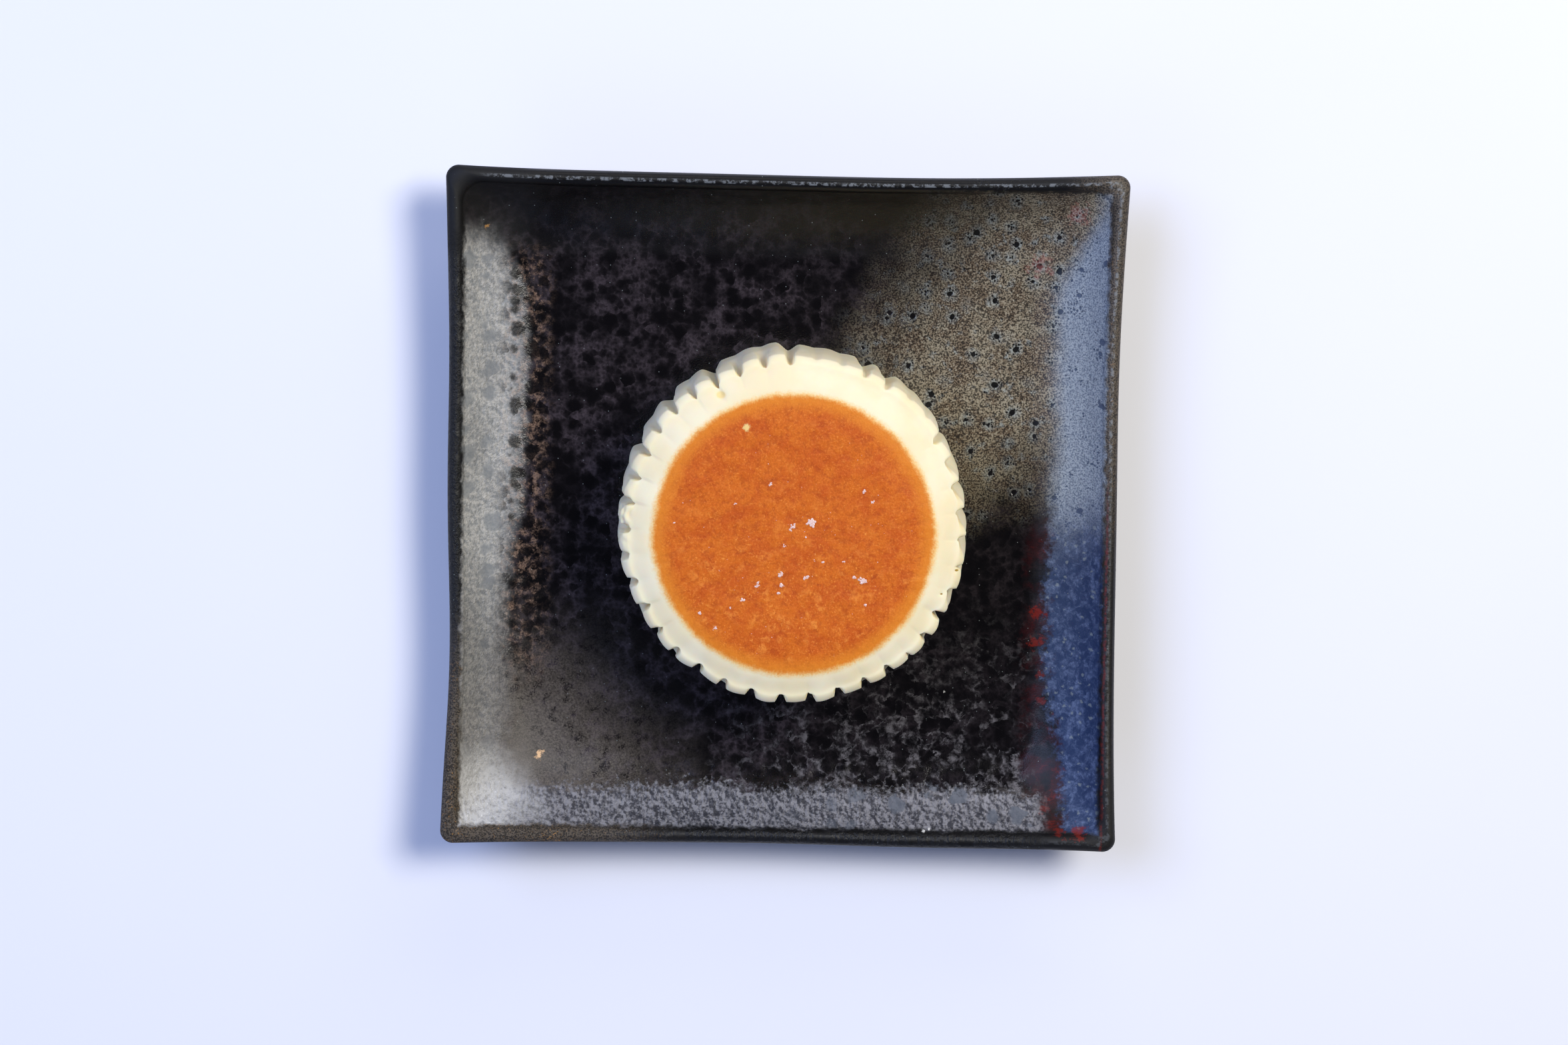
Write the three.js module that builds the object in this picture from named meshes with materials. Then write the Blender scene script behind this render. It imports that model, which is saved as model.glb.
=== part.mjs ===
// A small baked cheesecake standing on its square stoneware plate.
//
// Millimetres, +Z up. The origin is on the table, under the middle of the plate.
// +X is the plate's right side and +Y its far side.
//
// Both pieces are lathed skins whose rings are then reshaped: the plate's rings into
// rounded squares, and the cake's into the pleats that its paper case pressed into it.

import * as THREE from 'three';

// ---------------------------------------------------------------- the plate's dimensions

const PLATE_SIZE = 140;                    // corner to corner along a side
const PLATE_HALF = PLATE_SIZE / 2;
const RIM_HEIGHT = 18;                     // table to rim, at the middle of a side
const CORNER_LIFT = 2;                     // how much higher the rim is at a corner
const CORNER_RADIUS = 2.6;                 // of the rim, seen from above
const BOW_POWER = 3;                       // the sides stay straight and flare at the corners
// How far the sides draw in, and their slow waves: the plate was shaped by hand.
const SIDES = [
  { bow: 1.1, slope: 0.2, hump: 0.05 },    // +X
  { bow: 1.1, slope: -0.2, hump: 0 },      // +Y
  { bow: 1.05, slope: 0.35, hump: 0.25 },  // -X
  { bow: 0.35, slope: -0.2, hump: -0.12 }, // -Y
];
const SQUARENESS = 0.62;                   // how soon the rings turn square, from the middle

const CLAY = 4.6;                          // thickness of the clay under the well
const FOOT_HEIGHT = 2.4;                   // table to the hollow underside
const FOOT_HALF = 46;                      // half width of the foot, outside
const FOOT_WIDTH = 4.5;                    // width of the flat ring that touches the table
const FOOT_DRAFT = 0.9;                    // how far the foot's sides lean
const WELL_HEIGHT = FOOT_HEIGHT + CLAY;    // table to the flat middle of the plate
const LIP_RADIUS = 1.7;                    // of the rounded rim
const LIP_HEIGHT = RIM_HEIGHT - LIP_RADIUS;
// The turned-up edge in section: [half width, height] from the well to the rim, inside, and
// from the foot to the rim, outside.
const INSIDE = [[50, WELL_HEIGHT], [54.4, 7.5], [58.6, 9], [63, 12.1], [66.6, LIP_HEIGHT]];
const OUTSIDE = [[48.5, FOOT_HEIGHT], [54.5, 3.5], [61.2, 6.8], [66.4, 11.3], [PLATE_HALF, LIP_HEIGHT]];
const LIFT_START = 50;                     // half width where the corners begin to rise
const EDGE_RINGS = 7;                      // rings of the skin on each of those two curves
const LIP_RINGS = 5;                       // and over the rim

const SIDE_STEPS = 12;                     // columns of the skin along a side
const CORNER_STEPS = 4;                    // and round a corner
const PLATE_COLUMNS = 4 * (SIDE_STEPS + CORNER_STEPS);

// ---------------------------------------------------------------- the cake's dimensions

const CAKE_RADIUS = 34.9;                  // to the crests of the pleats, at the top edge
const BASE_RADIUS = 36;                    // the wall leans out a little towards the base
const CAKE_HEIGHT = 34;                    // base to the middle of the browned top
const EDGE_HEIGHT = 31;                    // base to the top edge of the pleats
const BASE_ROUND = 1.1;                    // rounding of the base's edge
const EDGE_ROUND = 1.3;                    // rounding of the top edge of the pleats
const WALL_HEIGHTS = [7, 13, 18, 22.5, 26.5];  // rings of the skin between those roundings
const WALL_POWER = 2.2;                    // the wall is upright below and leans in above
const CROWN_RADIUS = 28.5;                 // where the browned top turns down to the shoulder
// The shoulder from the pleats to the crown: [radius, height].
const SHOULDER = [
  [CAKE_RADIUS - 1.2, EDGE_HEIGHT + 0.2],
  [CAKE_RADIUS - 2.4, EDGE_HEIGHT + 0.5],
  [CROWN_RADIUS + 1.2, EDGE_HEIGHT + 1.8],
  [CROWN_RADIUS - 2, CAKE_HEIGHT - 0.5],
  [CROWN_RADIUS - 7, CAKE_HEIGHT - 0.1],
];
const SHOULDER_RINGS = 7;
const CAKE_PLACE = [1.9, -2.3];            // it was set down off the plate's middle
const GAP = 0.3;                           // kept between the cake and the plate

const PLEATS = 40;
const PLEAT_DEPTH = 1.5;                   // crest to valley, at the top edge
const OPEN_DEPTH = 1.2;                    // the same near the base, where a valley stays open
const SHUT_DEPTH = 0.15;                   // the same where a valley has closed up
const FAINT_DEPTH = 0.35;                  // of a valley that was pressed flat
const SLIT_DEPTH = 1.1;                    // of a valley whose sides touch
const CLOSING_HEIGHTS = [12, 26];          // the valleys that close up do so between these
const CREST_ROUND = 0.2;                   // how far a crest falls off towards its valleys

// Parts of a pleat, as fractions of its width: half the valley's flat floor and how far the
// valley's sides reach, both at the top edge; that reach near the base, where valleys are
// open V's; the reach of a slit; and that of a side that leans.
const FLOOR_SHARE = 0.08;
const SIDE_SHARE = 0.24;
const LOW_SIDE_SHARE = 0.45;
const SLIT_SHARE = 0.09;
const LEAN_SHARE = 0.8;
const PLEAT_POINTS = [0, 0.1, 0.24, 0.5, 0.76, 0.9];  // the skin's columns
const CAKE_COLUMNS = PLEATS * PLEAT_POINTS.length;

// Valley number n stands near n * 9 degrees, counted from +X towards +Y. The case was folded
// unevenly, which moves the valleys by a sum of waves: [waves a turn, degrees, phase].
const VALLEY_SHIFT = -5.3;
const VALLEY_WAVES = [[1, 3.9, -16], [2, 0.55, -131], [3, 0.55, 121], [4, 0.58, 102]];
const OPEN_VALLEYS = [1, 2, 4, 7, 8, 11, 14, 16, 18, 20, 22, 23, 25, 27, 29, 30, 31, 32, 37];
const FAINT_VALLEYS = [5, 6, 9, 10];
const SLITS = [35, 39];
const LEANING_VALLEYS = [0, 1, 2, 3, 38];  // the pleat before each falls gently towards it

// Where the wall swells out of round: [degrees, millimetres, half width in degrees].
const SWELLS = [[50, 0.6, 16], [98, 0.6, 11], [135, 0.3, 20], [196, 0.4, 10]];
const CREST_SCATTER = 0.22;                // how unevenly the crests stand out
const DEPTH_SCATTER = 0.15;                // how uneven the valleys are, as a share of depth

// ---------------------------------------------------------------- helpers

const radians = THREE.MathUtils.degToRad;
const mix = THREE.MathUtils.lerp;
const point = (x, y) => new THREE.Vector2(x, y);
const smooth = (pairs) => new THREE.SplineCurve(pairs.map(([x, y]) => point(x, y)));
const UP = new THREE.Vector3(0, 0, 1);

/** A number from -1 to 1 that belongs to a pleat and a salt, the same on every run. */
function scatter(index, salt) {
  const value = Math.sin(index * 12.9898 + salt * 78.233) * 43758.5453;
  return 2 * (value - Math.floor(value)) - 1;
}

/** Smooth step from 0 at `low` to 1 at `high`. */
function ease(low, high, value) {
  return THREE.MathUtils.smoothstep(value, low, high);
}

/**
 * A closed skin. `profile` runs from the axis to the axis, and `place(radius, height, column)`
 * says where the point of that ring and column goes.
 */
function ringedSkin(profile, columns, place) {
  const geometry = new THREE.LatheGeometry(profile, columns);
  const position = geometry.getAttribute('position');
  for (let index = 0; index < position.count; index++) {
    const column = Math.floor(index / profile.length) % columns;
    const ring = profile[index % profile.length];
    const { x, y, z } = place(ring.x, ring.y, column);
    position.setXYZ(index, x, y, z);
  }
  geometry.computeVertexNormals();
  return geometry;
}

// ---------------------------------------------------------------- the plate

/** Half section of the plate at the middle of a side: x is the half width, y the height. */
function plateProfile() {
  const footInside = FOOT_HALF - FOOT_WIDTH;
  const lipX = PLATE_HALF - LIP_RADIUS;
  const lip = new THREE.EllipseCurve(lipX, LIP_HEIGHT, LIP_RADIUS, LIP_RADIUS, 0, Math.PI);
  return [
    point(0, FOOT_HEIGHT),
    point(footInside - FOOT_DRAFT, FOOT_HEIGHT),
    point(footInside, 0),
    point(FOOT_HALF, 0),
    point(FOOT_HALF + FOOT_DRAFT, 0.8 * FOOT_HEIGHT),
    ...smooth(OUTSIDE).getPoints(EDGE_RINGS),
    ...lip.getPoints(LIP_RINGS).slice(1, -1),
    ...smooth(INSIDE).getPoints(EDGE_RINGS).reverse(),
    point(0, WELL_HEIGHT),
  ];
}

/** Where a ring of the plate passes in a column: a rounded square with bowed sides. */
function placeOnPlate(half, height, column) {
  const outward = half / PLATE_HALF;
  const roundAtRim = CORNER_RADIUS / PLATE_HALF;
  const corner = half * (1 - (1 - roundAtRim) * outward ** SQUARENESS);
  const quarter = Math.floor(column / (SIDE_STEPS + CORNER_STEPS));
  const step = column % (SIDE_STEPS + CORNER_STEPS);
  const along = Math.min(step / SIDE_STEPS, 1) * 2 - 1;
  const turn = Math.max(step - SIDE_STEPS, 0) / CORNER_STEPS * Math.PI / 2;
  const flare = Math.abs(along) ** BOW_POWER;
  const { bow, slope, hump } = SIDES[quarter];
  const wave = slope * Math.sin(Math.PI * along) - hump * Math.cos(2 * Math.PI * along);
  const drawnIn = (bow + wave) * (1 - flare) * outward ** 4;
  const x = half - corner + corner * Math.cos(turn) - drawnIn;
  const y = along * (half - corner) + corner * Math.sin(turn);
  const lift = CORNER_LIFT * flare * ease(LIFT_START, PLATE_HALF, half);
  return new THREE.Vector3(x, y, height + lift).applyAxisAngle(UP, quarter * Math.PI / 2);
}

function plate() {
  const glaze = new THREE.MeshStandardMaterial({ color: 0x1d1b1f, roughness: 0.3, metalness: 0 });
  const mesh = new THREE.Mesh(ringedSkin(plateProfile(), PLATE_COLUMNS, placeOnPlate), glaze);
  mesh.name = 'plate';
  return mesh;
}

// ---------------------------------------------------------------- the cheesecake

/** Radius of the wall over the crests of the pleats. */
function wallRadius(height) {
  const share = THREE.MathUtils.clamp(height / EDGE_HEIGHT, 0, 1);
  return mix(BASE_RADIUS, CAKE_RADIUS, share ** WALL_POWER);
}

/** Half section of the cake over a crest: up the wall, over the shoulder to the crown. */
function cakeProfile() {
  const wall = [BASE_ROUND, ...WALL_HEIGHTS, EDGE_HEIGHT - EDGE_ROUND];
  return [
    point(0, 0),
    point(BASE_RADIUS - BASE_ROUND, 0),
    ...wall.map((height) => point(wallRadius(height), height)),
    point(CAKE_RADIUS - EDGE_ROUND / 3, EDGE_HEIGHT - EDGE_ROUND / 3),
    ...smooth(SHOULDER).getPoints(SHOULDER_RINGS),
    point(0, CAKE_HEIGHT),
  ];
}

/** Direction of a valley, in degrees. */
function valleyAngle(number) {
  const even = number * 360 / PLEATS;
  let angle = even + VALLEY_SHIFT;
  for (const [waves, size, phase] of VALLEY_WAVES) {
    angle += size * Math.cos(radians(waves * even - phase));
  }
  return angle;
}

/** A valley's depth at the top edge and low on the wall, and how far its sides reach there. */
function valleyShape(number) {
  const uneven = 1 + DEPTH_SCATTER * scatter(number, 1);
  const open = OPEN_VALLEYS.includes(number);
  const depth = [open ? OPEN_DEPTH * uneven : SHUT_DEPTH, PLEAT_DEPTH * uneven];
  if (FAINT_VALLEYS.includes(number)) depth[1] = FAINT_DEPTH;
  if (SLITS.includes(number)) {
    const reach = [SLIT_SHARE, SLIT_SHARE];
    return { depth: [SHUT_DEPTH, SLIT_DEPTH], floor: 0, before: reach, after: reach };
  }
  return {
    depth,
    floor: FLOOR_SHARE,
    before: [LOW_SIDE_SHARE, LEANING_VALLEYS.includes(number) ? LEAN_SHARE : SIDE_SHARE],
    after: [LOW_SIDE_SHARE, SIDE_SHARE],
  };
}

/** How far a valley draws the skin in, at a radius and height, `away` pleats from its middle. */
function drawnInBy(valley, side, away, radius, height) {
  const nearTop = ease(...CLOSING_HEIGHTS, height);
  const floorRadius = wallRadius(height) - mix(...valley.depth, nearTop);
  const share = 1 - ease(valley.floor * nearTop, mix(...valley[side], nearTop), away);
  return share * Math.max(0, radius - floorRadius);
}

/** How far the wall stands out of round in a direction. */
function swell(degrees) {
  let out = 0;
  for (const [centre, size, spread] of SWELLS) {
    const away = THREE.MathUtils.euclideanModulo(degrees - centre + 180, 360) - 180;
    out += size * Math.exp(-((away / spread) ** 2));
  }
  return out;
}

/** Where a ring of the cake passes in a column. */
function placeOnCake(radius, height, column) {
  const pleat = Math.floor(column / PLEAT_POINTS.length);
  const across = PLEAT_POINTS[column % PLEAT_POINTS.length];
  const degrees = mix(valleyAngle(pleat), valleyAngle(pleat + 1), across);

  const onWall = ease(CROWN_RADIUS, CAKE_RADIUS, radius);
  const crest = CREST_SCATTER * scatter(pleat, 2) * Math.sin(Math.PI * across);
  const roundOff = CREST_ROUND * (2 * across - 1) ** 2;
  const outOfRound = (swell(degrees) + crest - roundOff) * onWall;
  const drawnIn = Math.max(
    drawnInBy(valleyShape(pleat), 'after', across, radius, height),
    drawnInBy(valleyShape((pleat + 1) % PLEATS), 'before', 1 - across, radius, height),
  );

  const reach = radius + outOfRound - drawnIn;
  const angle = radians(degrees);
  return new THREE.Vector3(reach * Math.cos(angle), reach * Math.sin(angle), height);
}

function cheesecake() {
  const curd = new THREE.MeshStandardMaterial({ color: 0xf4ecd0, roughness: 0.55, metalness: 0 });
  const mesh = new THREE.Mesh(ringedSkin(cakeProfile(), CAKE_COLUMNS, placeOnCake), curd);
  mesh.name = 'cheesecake';
  mesh.position.set(...CAKE_PLACE, WELL_HEIGHT + GAP);
  return mesh;
}

const servedCake = new THREE.Group();
servedCake.add(plate(), cheesecake());

export default servedCake;
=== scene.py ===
"""A small baked cheesecake on its square black-glazed plate.

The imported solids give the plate's and the cake's places. Two finely ringed skins replace them,
with the glaze and the baked surface as procedural materials. Shapes are worked out in
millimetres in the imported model's frame: +X is the plate's right side, +Y its far side.
"""

import math

import bpy
import numpy as np
from mathutils import Matrix, Vector


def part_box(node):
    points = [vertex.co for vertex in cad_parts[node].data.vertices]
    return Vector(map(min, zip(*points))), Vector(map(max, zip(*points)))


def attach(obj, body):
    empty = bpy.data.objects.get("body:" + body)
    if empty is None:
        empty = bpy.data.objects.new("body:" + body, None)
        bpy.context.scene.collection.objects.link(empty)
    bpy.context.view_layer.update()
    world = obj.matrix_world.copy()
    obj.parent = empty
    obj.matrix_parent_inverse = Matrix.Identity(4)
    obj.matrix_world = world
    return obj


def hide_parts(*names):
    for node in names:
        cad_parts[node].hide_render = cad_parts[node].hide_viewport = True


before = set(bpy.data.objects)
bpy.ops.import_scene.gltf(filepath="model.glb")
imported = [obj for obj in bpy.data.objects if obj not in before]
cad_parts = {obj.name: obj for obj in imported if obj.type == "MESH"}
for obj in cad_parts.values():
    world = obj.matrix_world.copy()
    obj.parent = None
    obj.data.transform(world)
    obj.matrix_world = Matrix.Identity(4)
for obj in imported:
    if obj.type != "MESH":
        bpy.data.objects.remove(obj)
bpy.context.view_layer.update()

MM = 0.001
plate_low, plate_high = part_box("plate")
cake_low, cake_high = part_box("cheesecake")

# ---- the plate, in millimetres

PLATE_HALF = plate_high.x / MM
RIM_HEIGHT = 18.0  # at the middle of a side
CORNER_LIFT = 2.0  # how much higher the corners stand
LIFT_START = 50.0  # half width from which they rise
CORNER_RADIUS = 2.6  # of the rim, in plan
FLARE_POWER = 3  # how late along a side its corner flares out and up
SQUARENESS = 0.62  # the lower, the sooner the rings turn square on their way out
# How far each side draws in, and its slow waves: +X, +Y, -X, -Y.
SIDE_BOW = np.array([1.1, 1.1, 1.05, 0.35])
SIDE_SLOPE = np.array([0.2, -0.2, 0.35, -0.2])
SIDE_HUMP = np.array([0.05, 0.0, 0.25, -0.12])
BOW_POWER = 4  # how late on the way out the sides bow

FOOT_HEIGHT = 2.4
FOOT_HALF = 46.0
FOOT_WIDTH = 4.5
FOOT_DRAFT = 0.9
FOOT_ROUND = 0.3
WELL_HALF = 50.0
WELL_HEIGHT = FOOT_HEIGHT + 4.6
LIP_RADIUS = 1.7
LIP_HEIGHT = RIM_HEIGHT - LIP_RADIUS
INSIDE = [(WELL_HALF, WELL_HEIGHT), (54.4, 7.5), (58.6, 9), (63, 12.1), (66.6, LIP_HEIGHT)]
OUTSIDE = [(48.5, FOOT_HEIGHT), (54.5, 3.5), (61.2, 6.8), (66.4, 11.3), (PLATE_HALF, LIP_HEIGHT)]

PLATE_SIDE_COLUMNS = 128
PLATE_CORNER_COLUMNS = 12
OUTSIDE_RINGS = 18
LIP_RINGS = 14
INSIDE_RINGS = 56
WELL_RING_STEP = 0.9
WELL_HIDDEN = 30.0  # half width under which the cake hides the well
HIDDEN_RINGS = [20.0, 8.0]

# Relief, here and on the cake, is a sum of ripples: [size, wavelength, seed].
HAND_WAVES = [(0.10, 17, 1)]
ORANGE_PEEL = [(0.045, 3.0, 2), (0.02, 2.0, 3)]
PEEL_HALVES = (50, 57)  # half widths between which the orange peel sets in
SMOOTH_BY_LIP = 3  # the relief fades out over this width

# ---- the cake, in millimetres

CAKE_PLACE = np.array([1.9, -2.3, cake_low.z / MM])
CAKE_RADIUS = 34.9  # over the pleats' crests, at the edge
BASE_RADIUS = 36.0
CAKE_HEIGHT = (cake_high.z - cake_low.z) / MM
EDGE_HEIGHT = 31.0
BASE_ROUND = 1.1
EDGE_ROUND = 1.3
WALL_POWER = 2.2  # how late on its way up the wall leans in
CROWN_RADIUS = 28.5
SHOULDER = [
    (CAKE_RADIUS - 1.2, EDGE_HEIGHT + 0.2),
    (CAKE_RADIUS - 2.4, EDGE_HEIGHT + 0.5),
    (CROWN_RADIUS + 1.2, EDGE_HEIGHT + 1.8),
    (CROWN_RADIUS - 2, CAKE_HEIGHT - 0.5),
    (CROWN_RADIUS - 7, CAKE_HEIGHT - 0.1),
]

PLEATS = 40
PLEAT_COLUMNS = 16
# A valley's direction: even steps, a shift, and waves round the cake: [waves, degrees, phase].
VALLEY_SHIFT = -5.3
VALLEY_WAVES = [(1, 3.9, -16), (2, 0.55, -131), (3, 0.55, 121), (4, 0.58, 102)]
# How deep valleys are: all of them near the edge, and the open ones down to the base as well.
PLEAT_DEPTH = 1.5
OPEN_DEPTH = 1.2
SHUT_DEPTH = 0.15
FAINT_DEPTH = 0.18
SLIT_DEPTH = 1.1
HALF_SHARE = 0.6
DEPTH_SCATTER = 0.15
CLOSING_HEIGHTS = (12.0, 26.0)  # a valley changes from its low shape to its high one here
OPEN_VALLEYS = [1, 2, 4, 7, 8, 11, 14, 16, 18, 20, 22, 23, 25, 27, 29, 30, 31, 32, 37]
FAINT_VALLEYS = [5, 6, 9, 10]
HALF_VALLEYS = [7, 8]
SLITS = [35, 39]
LEANING_VALLEYS = [0, 1, 2, 3, 38]
# How far a valley's floor and sides reach, as shares of the way to the next one.
FLOOR_SHARE = 0.08
SIDE_SHARE = 0.17
LOW_SIDE_SHARE = 0.45
SLIT_SHARE = 0.09
LEAN_SHARE = 0.8
CREST_ROUND = 0.55
CREST_SKEW = 0.35
CREST_SCATTER = 0.22
EDGE_SOFTNESS = 0.22  # rounds the top of a valley where it cuts the shoulder
# Where the wall stands out of round: [direction, size, spread], in degrees but for the size.
SWELLS = [(50, 0.6, 16), (98, 0.6, 11), (135, 0.3, 20), (196, 0.4, 10)]

UNDERSIDE_RINGS = [12.0, 30.0]
BASE_RINGS = 5
WALL_RINGS = 40
SHOULDER_RINGS = 40
TOP_RINGS = 46

# The browned skin: its middle, from the cake's own, and its radius.
BROWN_MIDDLE = (-0.05, -0.6)
BROWN_RADIUS = 28.3
SKIN_SUNK = 0.12  # leaves room for the sugar under the cake's full height
# Small features on the cake's top: [x, y] from the cake's middle, and for cracks their width.
YELLOW_PIT = (-15.1, 27.3)
PIT_WIDTH, PIT_DEPTH = 1.7, 0.5
PALE_SPOT = (-9.9, 21.0)
CRACKS = [(32.9, -7.4, 0.9), (29.9, -12.2, 0.6)]
CRACK_DEPTH = 0.4
TORN_DIRECTION, TORN_SPREAD = 176, 7  # degrees

BAKED_WAVES = [(0.06, 8, 11), (0.03, 3, 12)]
SKIN_WAVES = [(0.04, 4, 13), (0.03, 1.5, 14)]
TORN_WAVES = [(0.45, 1.7, 15)]
HIGHEST_RELIEF = 0.25

# Flecks of sugar on the browned top, pale partly as painted glints: [x, y, half length, half width,
# turn in degrees].
FLECK_CLUSTERS = [
    (3.6, 1.9, 1.05, 0.75, -20), (-0.3, 1.2, 0.85, 0.42, 55), (-1.9, -2.7, 0.5, 0.4, 0),
    (2.3, -0.9, 0.22, 0.2, 0), (13.9, 8.5, 0.35, 0.2, 30), (-4.9, 9.6, 0.45, 0.3, 0),
    (14.0, -9.6, 0.95, 0.5, -15), (12.3, -8.9, 0.4, 0.25, 0), (-7.2, -10.7, 0.85, 0.35, 55),
    (-2.5, -8.4, 0.6, 0.4, 30), (2.4, -9.0, 0.6, 0.3, 20), (-2.4, -10.6, 0.4, 0.3, 0),
    (-10.2, -13.7, 0.45, 0.3, 0), (-12.6, -15.4, 0.3, 0.2, 0), (-18.7, -16.4, 0.45, 0.3, 40),
    (-15.6, -19.5, 0.7, 0.4, 60), (14.5, -14.4, 0.28, 0.2, 0), (1.6, -17.2, 0.3, 0.16, 0),
    (-3.0, -12.3, 0.35, 0.2, 0), (5.9, -5.9, 0.3, 0.15, 20), (-11.9, 5.6, 0.3, 0.2, 0),
    (-24.1, 1.6, 0.2, 0.15, 0), (10.1, -5.8, 0.25, 0.15, 0), (15.7, 6.3, 0.3, 0.2, 0),
]
FEWEST_GRAINS = 5
GRAINS_BY_AREA = 34
LONE_GRAINS = 130
LONE_RADIUS, LONE_MIDDLE_Y = 25, -4  # of the round over which they lie
PLACES_SEED = 7
GRAINS_SEED = 8
GRAIN_SIDES = 8


# ---- camera, read off the photo

IMAGE_WIDTH = 2353
FOCAL_PIXELS = 6215.8
CAMERA_PLACE = Vector((-13.25, 73.8, 868.0)) * MM
CAMERA_AIM = Vector((0.181, -2.378, 18.0)) * MM
CAMERA_ROLL = math.radians(-0.94)
SENSOR_WIDTH = 36.0


# ---- helpers for shapes

def scatter(index, salt):
    """Numbers from -1 to 1 that belong to an index and a salt, the same on every run."""
    value = np.sin(index * 12.9898 + salt * 78.233) * 43758.5453
    return 2 * (value - np.floor(value)) - 1


def ease(low, high, value):
    """Smooth step from 0 at `low` to 1 at `high`, which may be the smaller of the two."""
    share = np.clip((value - low) / (high - low), 0, 1)
    return share * share * (3 - 2 * share)


def mix(first, second, share):
    return first + (second - first) * share


def smooth(points, steps):
    """Points along a uniform Catmull-Rom curve through `points`."""
    points = np.array(points, float)
    last = len(points) - 1
    out = []
    for step in range(steps + 1):
        position = last * step / steps
        index = min(int(position), last - 1)
        t = position - index
        before = points[max(index - 1, 0)]
        start, end = points[index], points[index + 1]
        after = points[min(index + 2, last)]
        leave, arrive = (end - before) / 2, (after - start) / 2
        out.append(
            (2 * start - 2 * end + leave + arrive) * t**3
            + (-3 * start + 3 * end - 2 * leave - arrive) * t**2
            + leave * t
            + start
        )
    return [tuple(point) for point in out]


def ripples(points, wavelength, seed, waves=28):
    """Soft random relief from about -1 to 1: a sum of waves in random directions."""
    random = np.random.default_rng(seed)
    total = np.zeros(points.shape[:-1])
    for _ in range(waves):
        direction = random.normal(size=3)
        direction /= np.linalg.norm(direction)
        length = wavelength * random.uniform(0.75, 1.5)
        total += np.sin(points @ direction * (2 * np.pi / length) + random.uniform(0, 2 * np.pi))
    return total / math.sqrt(waves / 2) / 2


def normals_of(grid):
    """Outward unit normals of a ringed grid [ring, column, xyz]."""
    along_ring = np.roll(grid, -1, 1) - np.roll(grid, 1, 1)
    across_rings = np.gradient(grid, axis=0)
    normal = np.cross(along_ring, across_rings)
    return normal / np.maximum(np.linalg.norm(normal, axis=2, keepdims=True), 1e-9)


def relief(points, layers):
    """Height out of the surface: a sum of ripples."""
    return sum(size * ripples(points, wavelength, seed) for size, wavelength, seed in layers)


def add_object(name, data):
    """A new object in the scene, with a mesh, light or camera as its data."""
    added = bpy.data.objects.new(name, data)
    bpy.context.scene.collection.objects.link(added)
    return added


def ringed_mesh(name, grid, first_pole, last_pole):
    """A closed mesh over a grid of rings, with a fan at each pole, in metres."""
    rings, columns = grid.shape[:2]
    points = np.vstack([grid.reshape(-1, 3), [first_pole], [last_pole]]) * MM
    number = np.arange(rings * columns).reshape(rings, columns)
    right = np.roll(number, -1, 1)
    quads = np.stack([number[:-1], right[:-1], right[1:], number[1:]], -1).reshape(-1, 4)
    first, last = len(points) - 2, len(points) - 1
    faces = [tuple(quad) for quad in quads.tolist()]
    faces += [(first, b, a) for a, b in zip(number[0].tolist(), right[0].tolist())]
    faces += [(last, a, b) for a, b in zip(number[-1].tolist(), right[-1].tolist())]
    mesh = bpy.data.meshes.new(name)
    mesh.from_pydata(points.tolist(), [], faces)
    mesh.polygons.foreach_set("use_smooth", [True] * len(mesh.polygons))
    mesh.update()
    return add_object(name, mesh)


# ---- the plate's skin

def plate_profile():
    """Half section at the middle of a side: [half width, height], from below to the well."""
    foot_inside = FOOT_HALF - FOOT_WIDTH
    foot = [
        (HIDDEN_RINGS[0], FOOT_HEIGHT),
        (foot_inside - FOOT_DRAFT - 1, FOOT_HEIGHT),
        (foot_inside - FOOT_DRAFT, FOOT_HEIGHT - 0.1),
        (foot_inside - FOOT_ROUND, FOOT_ROUND),
        (foot_inside, 0.0),
        (FOOT_HALF, 0.0),
        (FOOT_HALF + FOOT_ROUND, FOOT_ROUND),
        (FOOT_HALF + FOOT_DRAFT, 0.8 * FOOT_HEIGHT),
    ]
    turns = np.linspace(0, np.pi, LIP_RINGS + 1)[1:-1]
    lip_x = PLATE_HALF - LIP_RADIUS
    lip = [(lip_x + LIP_RADIUS * np.cos(a), LIP_HEIGHT + LIP_RADIUS * np.sin(a)) for a in turns]
    slopes = smooth(OUTSIDE, OUTSIDE_RINGS) + lip + smooth(INSIDE, INSIDE_RINGS)[::-1]
    seen = np.arange(WELL_HALF - WELL_RING_STEP, WELL_HIDDEN, -WELL_RING_STEP)
    well = [(half, WELL_HEIGHT) for half in [*seen, *HIDDEN_RINGS]]
    return foot + slopes + well


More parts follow.
